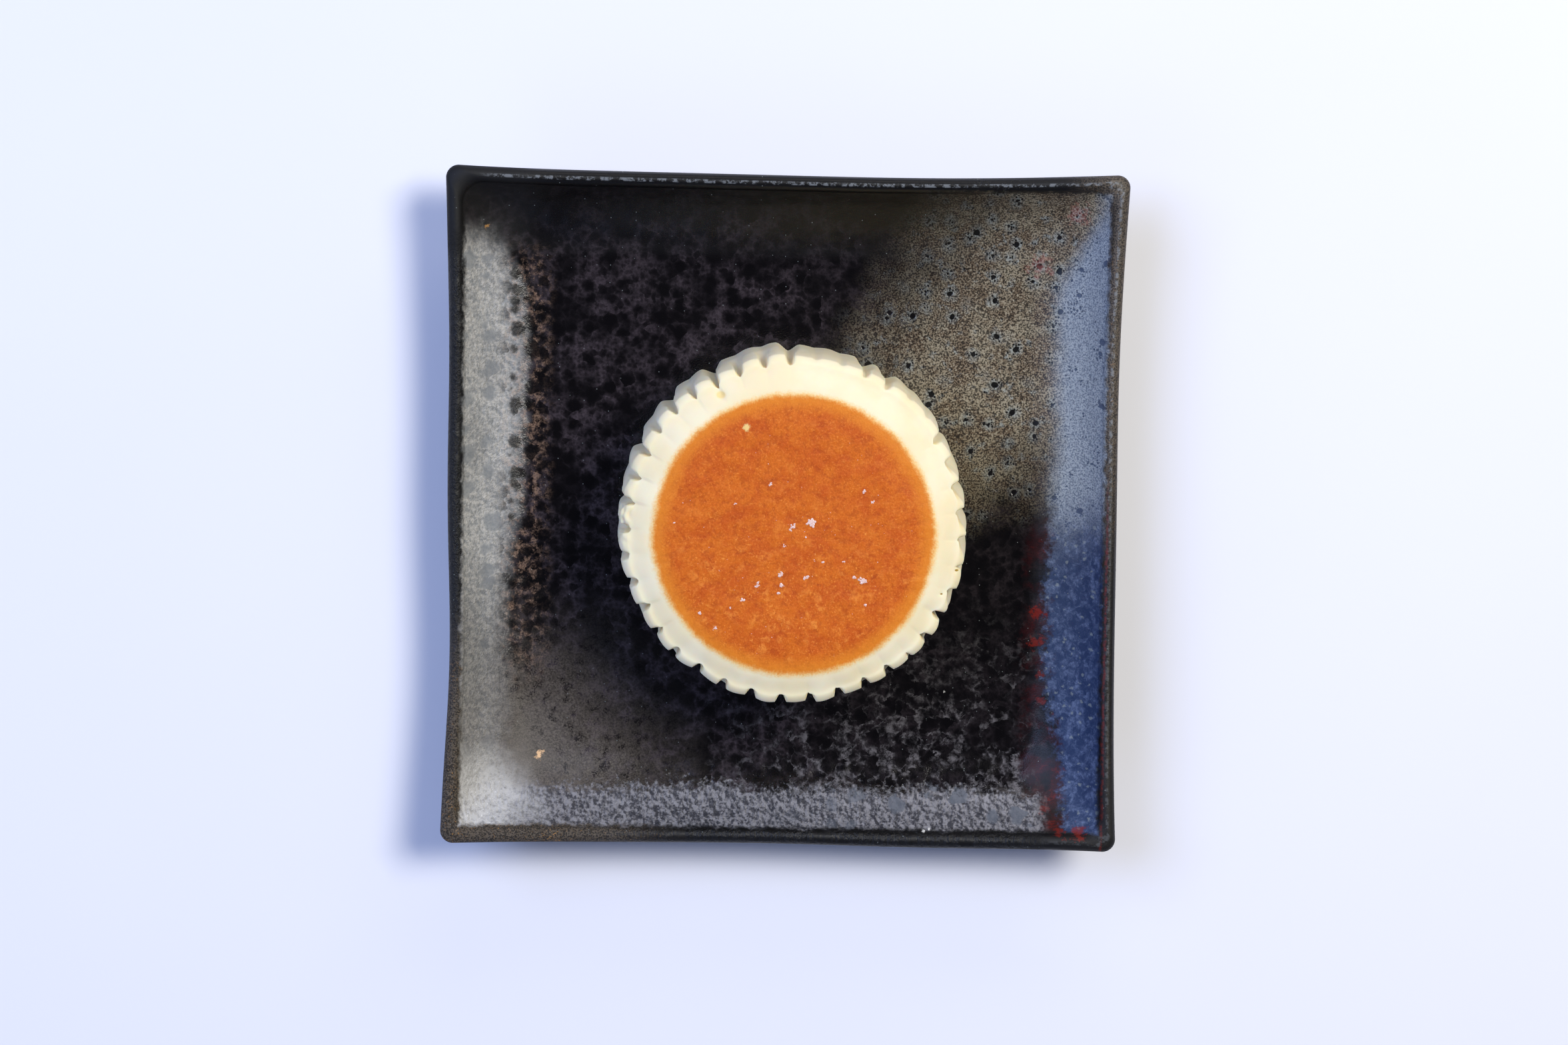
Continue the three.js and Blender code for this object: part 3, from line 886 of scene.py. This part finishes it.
def left_slope(g, colour):
    """Painted reflection of the window in pale grey with blotches, then a coppery fringe and black
    knots. Also returns share and blotches.
    """
    edge = g.add(g.wavering(g.x, 4, 3.5), g.ease(g.y, 22, -24, 0, 3.2), g.ease(g.y, 42, 58, 0, 6.0))
    left = g.times(g.ease(edge, -51.8, -58.2), g.ease(g.add(g.y, g.times(g.ragged, 5)), 60, 50))
    # painted reflection of the window, with painted light and shade on its lumps
    lumps = g.painted_lump_light(g.where, 1.6, 0.3)
    painted_reflection = g.mix(g.add(g.times(g.plaster, 0.7), g.times(lumps, 0.6), -0.1), STEEL_REFLECTION, SILVER_REFLECTION)
    blotches = g.round_spots(g.warped(g.where, 2, 0.5), 5.0, -1.2, 1.9, 0.5)
    painted_reflection = g.mix(g.times(blotches, 0.7), painted_reflection, STEEL_REFLECTION)
    # the painted reflection dims towards the near side
    dimmer = g.times(g.ease(g.y, -10, -34, 1.0, 0.54), g.ease(g.drift, -0.12, 0.10, 0.85, 1.0))
    colour = g.mix(g.times(left, dimmer, 0.95), colour, painted_reflection)

    fringe = g.times(g.ease(g.x, -47, -52), g.ease(g.x, -60, -56))
    fringe = g.times(fringe, g.ease(g.y, 56, 46), g.ease(g.y, -42, -24))
    wisps = g.ease(g.noise(g.where, 1.6, 4, 0.7), 0.46, 0.64)
    wisps = g.times(wisps, g.ease(g.grain, 0.36, 0.62, 0.3, 1.0))
    colour = g.mix(g.times(fringe, wisps, 0.42), colour, COPPER)
    knots = g.round_spots(g.warped(g.where, 0.9, 0.35), 2.9, -0.3, 1.7, 0.5)
    knots = g.times(knots, g.ease(g.x, -44, -49), g.ease(g.x, -60.5, -56.0), g.ease(g.y, -44, -20))
    return g.mix(g.times(knots, 0.9), colour, BLACK), left, blotches


def near_slope(g, colour):
    """Painted reflection of the light on the far side, in pale grey lumps with painted light and
    shade, whose ragged edge the net breaks into. Also returns share and blotches.
    """
    edge = g.add(g.wavering(g.y, 5, 5.0), g.times(g.less(g.plaster, 0.5), 8))
    near = g.times(g.ease(edge, -57.8, -60.6), g.ease(g.add(g.x, g.times(g.ragged, 4)), 57, 52.5))
    # painted reflection, with painted light and shade on its lumps
    lumps = g.painted_lump_light(g.stretched(g.where, (1.2, 0.8, 1.0)), 1.5, 0.35)
    painted_reflection = g.mix(lumps, NEAR_DARK_REFLECTION, NEAR_SILVER_REFLECTION)
    blotches = g.round_spots(g.warped(g.where, 1.5, 0.4), 4.2, -0.6, 1.9, 0.4)
    blotches = g.times(blotches, g.ease(g.x, -10, 30))
    painted_reflection = g.mix(g.times(blotches, 0.85), painted_reflection, NEAR_STEEL_REFLECTION)
    return g.mix(g.times(near, 0.9), colour, painted_reflection), near, blotches


def painted_corner_highlight(g, colour):
    """Painted highlight on the near left corner, with painted glints. Also returns its share."""
    bright = g.times(g.ease(g.from_corner, 17, 5), g.ease(g.plaster, 0.25, 0.6, 0.4, 1.0))
    colour = g.mix(g.times(bright, 0.85), colour, CORNER_HIGHLIGHT)
    # painted glints close to the corner
    painted_glints = g.ease(g.noise(g.warped(g.where, 2, 0.6), 0.36, 3, 0.75), 0.60, 0.67)
    close = g.ease(g.add(g.from_corner, g.times(g.plaster, 8)), 17, 7)
    return g.mix(g.times(painted_glints, close), colour, SPARK), bright


def lip(g, colour):
    """The lip, where the glaze runs thin: brown on the right and the near left, gold flecks, and a
    painted highlight along the crest.
    """
    across = g.math("MAXIMUM", g.math("ABSOLUTE", g.x), g.math("ABSOLUTE", g.y))
    on_lip = g.ease(g.add(across, g.times(g.ragged, 2.2)), 65.6, 66.6)
    right_side = g.times(g.ease(g.x, 56, 67), g.ease(g.y, -20, 25, 0.05, 1.0))
    brown_side = g.math("MAXIMUM", right_side, g.ease(g.from_corner, 46, 20))
    brown = g.times(brown_side, g.ease(g.grain, 0.40, 0.60, 0.2, 1.0))
    lip_colour = g.mix(brown, LIP_BLACK, LIP_BROWN)
    gold = g.ease(g.add(g.noise(g.where, 0.5, 4, 0.7), g.times(g.drift, 0.4)), 0.60, 0.70)
    lip_colour = g.mix(g.times(gold, brown_side, 0.5), lip_colour, GOLD_FLECKS_AND_GLINT)

    # painted highlight: broken strokes along the crest of the far and right sides
    highlight_dashes = g.ease(g.noise(g.stretched(g.where, (0.4, 0.4, 1.0)), 0.5, 3, 0.7), 0.46, 0.60)
    crest = g.times(g.ease(g.facing_up, 0.95, 0.995), highlight_dashes)
    crest = g.times(crest, g.ease(g.far_or_right, 50, 66), g.ease(g.x, -64, -58))
    lip_colour = g.mix(g.times(crest, g.ease(g.y, -20, 25, 0.2, 0.6)), lip_colour, STEEL_REFLECTION)
    colour = g.mix(on_lip, colour, lip_colour)

    # a broken red line where the blue ends on the right side
    red_line = g.math("ABSOLUTE", g.add(g.x, g.times(g.ragged, 1.2), -66.9))
    red_line = g.times(g.ease(red_line, 0.4, 0.1), g.ease(g.y, 12, -6), g.ease(g.plaster, 0.35, 0.6))
    return g.mix(g.times(red_line, 0.4), colour, RUST)


def lone_marks(g, colour):
    """A few bright specks everywhere, the lone stains and the painted glints."""
    specks = g.round_spots(g.where, 2.6, -0.55, 0.1, 0.04)
    colour = g.mix(g.times(specks, 0.5), colour, HALO)
    torn = g.add(g.ragged, g.times(g.less(g.plaster, 0.5), 1.2))
    for x, y, radius, share, stain_colour in STAINS:
        stain = g.add(g.away((x, y)), g.times(torn, 3.2 * radius))
        colour = g.mix(g.ease(stain, radius, 0.2 * radius, 0, share), colour, stain_colour)
    return colour


def glaze_material():
    g = Glaze("black_reactive_glaze")
    colour, net = oil_spot_ground(g)
    colour, haze = near_left_haze(g, colour)
    colour, olive, pitted, halo = far_right_olive(g, colour)
    colour, blue = right_slope(g, colour, pitted, halo)
    colour, left, left_blotches = left_slope(g, colour)
    colour, near, near_blotches = near_slope(g, colour)
    colour, bright = painted_corner_highlight(g, colour)
    colour = lone_marks(g, lip(g, colour))
    colour = g.mix(g.ease(g.facing_up, 0.15, -0.1), colour, LIP_BLACK)
    foot = g.ease(g.z, 0.25, 0.1)
    colour = g.mix(foot, colour, CLAY_BODY)

    # where the reflections and the corner highlight are painted
    painted_light_share = g.math("MAXIMUM", g.math("MAXIMUM", left, near), bright)
    roughness = g.add(
        GLAZE_ROUGHNESS,
        g.times(net, 0.03),
        g.times(olive, 0.10),
        g.times(haze, 0.2),
        g.times(painted_light_share, 0.30),
        g.times(blue, 0.10),
        g.ease(g.away(FAR_LEFT_CORNER), 16, 8, 0, 0.3),
        g.ease(g.away(NEAR_RIGHT_CORNER), 16, 6, 0, 0.2),
        g.ease(g.from_corner, 34, 16, 0, 0.25),
        g.ease(g.far_or_right, 50, 54, 0, 0.2),
        g.times(foot, 0.5),
    )

    # relief: plaster-like lumps, streaks on the near slope, grain, and pits in the olive
    streaks = g.noise(g.stretched(g.where, (1.0, 0.35, 1.0)), 0.9, 4, 0.6)
    lumps = g.less(g.add(g.times(g.plaster, g.less(1.0, near)), g.times(streaks, near)), 0.5)
    blotches = g.math("MAXIMUM", left_blotches, near_blotches)
    smooth_places = g.less(1.0, g.times(blotches, 0.8))
    bumpy = g.add(0.02, g.times(painted_light_share, smooth_places), g.times(haze, 0.08), g.times(blue, 0.1))
    grainy = g.times(g.less(g.grain, 0.5), 0.04)
    height = g.add(g.times(lumps, bumpy), grainy, g.times(pitted, olive, -0.15))
    return g.finish(
        Base_Color=colour,
        Roughness=roughness,
        IOR=GLAZE_IOR,
        Specular_IOR_Level=GLAZE_SPECULAR,
        Normal=g.bump(height, GLAZE_RELIEF),
    )


# ---- the cake's surface

CREAM = srgb(243, 228, 188)
CREAM_PALE = srgb(246, 234, 200)
CREAM_YELLOW = srgb(240, 214, 140)
BROWN = srgb(212, 110, 33)
BROWN_RED = srgb(195, 83, 29)
BROWN_DEEP = srgb(166, 64, 26)
BROWN_GOLD = srgb(240, 155, 68)
EDGE_ORANGE = srgb(228, 140, 44)
EDGE_GOLD = srgb(242, 198, 120)
CRACK_COLOUR = srgb(170, 140, 60)
# sugar, its pale colour partly a painted glint
SUGAR_GLINT = srgb(248, 226, 216)
SUGAR_SHADE = srgb(226, 176, 160)

# Darker spots in the browned skin: [x, y, radius] from the cake's middle.
DARKER_SPOTS = [
    (9.7, -8.2, 1.0), (16.0, -8.9, 0.7), (5.2, -10.5, 0.6), (-3.6, -10.8, 0.9), (-7.0, -8.4, 0.5),
    (7.0, 1.2, 0.5), (-5.3, 10.4, 1.1), (4.6, 12.5, 0.9), (10.0, -1.7, 1.2), (-10.5, -4.0, 0.8),
]

CAKE_SPECULAR = 0.1
CAKE_SUBSURFACE = 0.5
SUBSURFACE_DEPTH = 2.4
SUBSURFACE_RADIUS = (1.0, 0.6, 0.35)
CRUMB_RELIEF = 0.10  # the bump's depth for a height of 1, in millimetres


class Cake(Graph):
    """The cake's node tree, with the noises that its layers share."""

    def __init__(self, name):
        super().__init__(name, CAKE_PLACE)
        self.fine = self.noise(self.where, 0.40, 2, 0.6)
        self.medium = self.noise(self.where, 1.3, 2, 0.55)


def cream_colour(g):
    """Cream, with the yellow pit, the cracks and painted shade in a warmer yellow inside the pleats.
    """
    soft = g.ease(g.noise(g.where, 9, 3), 0.35, 0.65)
    cream = g.mix(soft, CREAM, CREAM_PALE)
    pit = g.away(YELLOW_PIT, (1.15, 0.9))
    cream = g.mix(g.ease(pit, 1.05, 0.55, 0, 0.75), cream, CREAM_YELLOW)
    for x, y, across in CRACKS:
        crack = g.away((x, y), (across * 0.45, across * 0.3))
        cream = g.mix(g.ease(crack, 1.2, 0.6), cream, CRACK_COLOUR)
    # painted shade: a warmer yellow on the steep faces inside the pleats, near the top
    valley = g.times(g.ease(g.away((0, 0)), 34.4, 33.4), g.ease(g.upward(), 0.75, 0.35))
    valley = g.times(valley, g.ease(g.z, 30, 36))
    return g.mix(g.times(valley, 0.45), cream, CREAM_YELLOW)


def brown_colour(g):
    """The browned skin: red patches, darker spots, golden grains in drifts, a golden glow."""
    patches = g.ease(g.noise(g.where, 4.2, 3, 0.6), 0.40, 0.66)
    brown = g.mix(g.times(patches, 0.6), BROWN, BROWN_RED)
    brown = g.mix(g.ease(g.medium, 0.50, 0.32, 0, 0.35), brown, BROWN_DEEP)
    for x, y, radius in DARKER_SPOTS:
        darker_spot = g.add(g.away((x, y), (1.3, 0.8)), g.times(g.less(g.medium, 0.5), 1.6))
        brown = g.mix(g.ease(darker_spot, radius, 0.2 * radius, 0, 0.45), brown, BROWN_DEEP)

    drifts = g.ease(g.noise(g.where, 3.2, 3, 0.6), 0.44, 0.62, 0.25, 1.0)
    drifts = g.times(drifts, g.ease(g.y, 12, -18, 0.75, 1.25))
    grains = g.ease(g.noise(g.where, 0.5, 3, 0.7), 0.55, 0.70)
    brown = g.mix(g.times(grains, drifts, 0.8), brown, BROWN_GOLD)
    glow = g.ease(g.noise(g.warped(g.where, 1.5, 0.3), 2.6, 3, 0.6), 0.54, 0.72)
    glow = g.times(glow, g.ease(g.y, 8, -20, 0.3, 1.0))
    brown = g.mix(g.times(glow, 0.6), brown, BROWN_GOLD)
    brown = g.mix(g.ease(g.fine, 0.50, 0.34, 0, 0.26), brown, BROWN_DEEP)
    brown = g.mix(g.ease(g.fine, 0.54, 0.70, 0, 0.3), brown, BROWN_GOLD)
    pale = g.add(g.away(PALE_SPOT), g.times(g.less(g.fine, 0.5), 1.2))
    return g.mix(g.ease(pale, 0.95, 0.40, 0, 0.85), brown, CREAM_YELLOW)


def browned_top(g, cream, brown):
    """The skin over the cream, fading granularly through orange and gold. Also its share."""
    radius = g.add(
        g.away(BROWN_MIDDLE),
        g.times(g.less(g.noise(g.where, 8, 2), 0.5), 1.0),
        g.times(g.less(g.fine, 0.5), 1.0),
        g.times(g.less(g.medium, 0.5), 0.8),
    )
    orange = g.ease(radius, BROWN_RADIUS - 4.2, BROWN_RADIUS - 0.8, 0, 0.75)
    skin = g.mix(orange, brown, EDGE_ORANGE)
    skin = g.mix(g.ease(radius, BROWN_RADIUS - 0.9, BROWN_RADIUS + 0.5), skin, EDGE_GOLD)
    browned = g.ease(radius, BROWN_RADIUS + 1.1, BROWN_RADIUS - 0.3)
    return g.mix(browned, cream, skin), browned


def cake_material():
    g = Cake("baked_cream_cheese")
    colour, browned = browned_top(g, cream_colour(g), brown_colour(g))
    crumb = g.add(g.times(g.fine, 0.6), g.times(g.medium, 0.9))
    height = g.times(crumb, g.add(0.15, g.times(browned, 0.85)))
    return g.finish(
        Base_Color=colour,
        Roughness=g.ease(browned, 0, 1, 0.55, 0.45),
        Normal=g.bump(height, CRUMB_RELIEF),
        Specular_IOR_Level=CAKE_SPECULAR,
        Subsurface_Weight=CAKE_SUBSURFACE,
        Subsurface_Radius=SUBSURFACE_RADIUS,
        Subsurface_Scale=SUBSURFACE_DEPTH * MM,
    )


def fleck_material():
    # sugar grains, their pale colour partly painted glints
    g = Graph("glinting_sugar")
    return g.finish(
        Base_Color=g.mix(g.noise(g.where, 0.5, 1), SUGAR_GLINT, SUGAR_SHADE),
        Roughness=g.ease(g.noise(g.where, 0.2, 1), 0.3, 0.7, 0.15, 0.5),
    )


# ---- studio

FLOOR_HALF = 4.0  # metres
FLOOR_COLOUR = srgb(238, 238, 245)
FLOOR_SHADE = srgb(214, 216, 228)
BACKGROUND = (0.05, 0.055, 0.075, 1.0)
# Soft lights, aimed at the frame's origin: [name, direction from +X towards +Y and elevation in
# degrees, width and height in metres, radiance, colour].
LIGHTS = [
    ("window", 34, 59, 0.5, 0.5, 22.6, (1.0, 0.97, 0.88)),
    ("sky", 150, 52, 0.9, 0.9, 5.4, (0.46, 0.59, 1.0)),
    ("far_low", 72, 26, 1.3, 0.5, 1.8, (1.0, 0.96, 0.95)),
    ("low_sky", 225, 30, 1.6, 0.8, 1.2, (0.48, 0.60, 1.0)),
]
LIGHT_DISTANCE = 1.5


def floor_material():
    g = Graph("pale_floor")
    mottle = g.times(g.noise(g.where, 60, 2), 0.1)
    return g.finish(Base_Color=g.mix(mottle, FLOOR_COLOUR, FLOOR_SHADE), Roughness=0.7)


def make_floor():
    mesh = bpy.data.meshes.new("floor")
    corners = [(-1, -1, 0), (1, -1, 0), (1, 1, 0), (-1, 1, 0)]
    mesh.from_pydata([Vector(corner) * FLOOR_HALF for corner in corners], [], [(0, 1, 2, 3)])
    floor = add_object("floor", mesh)
    floor.data.materials.append(floor_material())


def make_lights():
    world = bpy.data.worlds.new("studio")
    world.use_nodes = True
    world.node_tree.nodes["Background"].inputs[0].default_value = BACKGROUND
    bpy.context.scene.world = world
    for name, direction, elevation, width, height, radiance, colour in LIGHTS:
        light = bpy.data.lights.new(name, "AREA")
        light.shape = "RECTANGLE"
        light.size, light.size_y = width, height
        light.energy = radiance * math.pi * width * height
        light.color = colour
        lamp = add_object(name, light)
        turn, rise = math.radians(direction), math.radians(elevation)
        level = Vector((math.cos(turn), math.sin(turn), 0))
        towards = level * math.cos(rise) + Vector((0, 0, math.sin(rise)))
        lamp.location = towards * LIGHT_DISTANCE
        lamp.rotation_mode = "QUATERNION"
        lamp.rotation_quaternion = towards.to_track_quat("Z", "Y")
        lamp.visible_camera = False


def make_camera():
    data = bpy.data.cameras.new("camera")
    data.sensor_fit = "HORIZONTAL"
    data.sensor_width = SENSOR_WIDTH
    data.lens = FOCAL_PIXELS / IMAGE_WIDTH * SENSOR_WIDTH
    data.clip_start = 0.01
    camera = add_object("camera", data)
    forward = (CAMERA_AIM - CAMERA_PLACE).normalized()
    right = forward.cross(Vector((math.sin(CAMERA_ROLL), math.cos(CAMERA_ROLL), 0))).normalized()
    up = right.cross(forward)
    turned = Matrix((right, up, -forward)).transposed().to_4x4()
    camera.matrix_world = Matrix.Translation(CAMERA_PLACE) @ turned
    bpy.context.scene.camera = camera


def dress(piece, material, slot, *replaced):
    """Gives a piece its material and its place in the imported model."""
    piece.data.materials.append(material)
    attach(piece, "root")
    if replaced:
        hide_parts(*replaced)


make_camera()
make_floor()
make_lights()
bpy.context.scene.view_settings.view_transform = "Standard"
dress(make_plate(), glaze_material(), "glaze", "plate")
dress(make_cake(), cake_material(), "curd", "cheesecake")
dress(make_flecks(), fleck_material(), "curd")
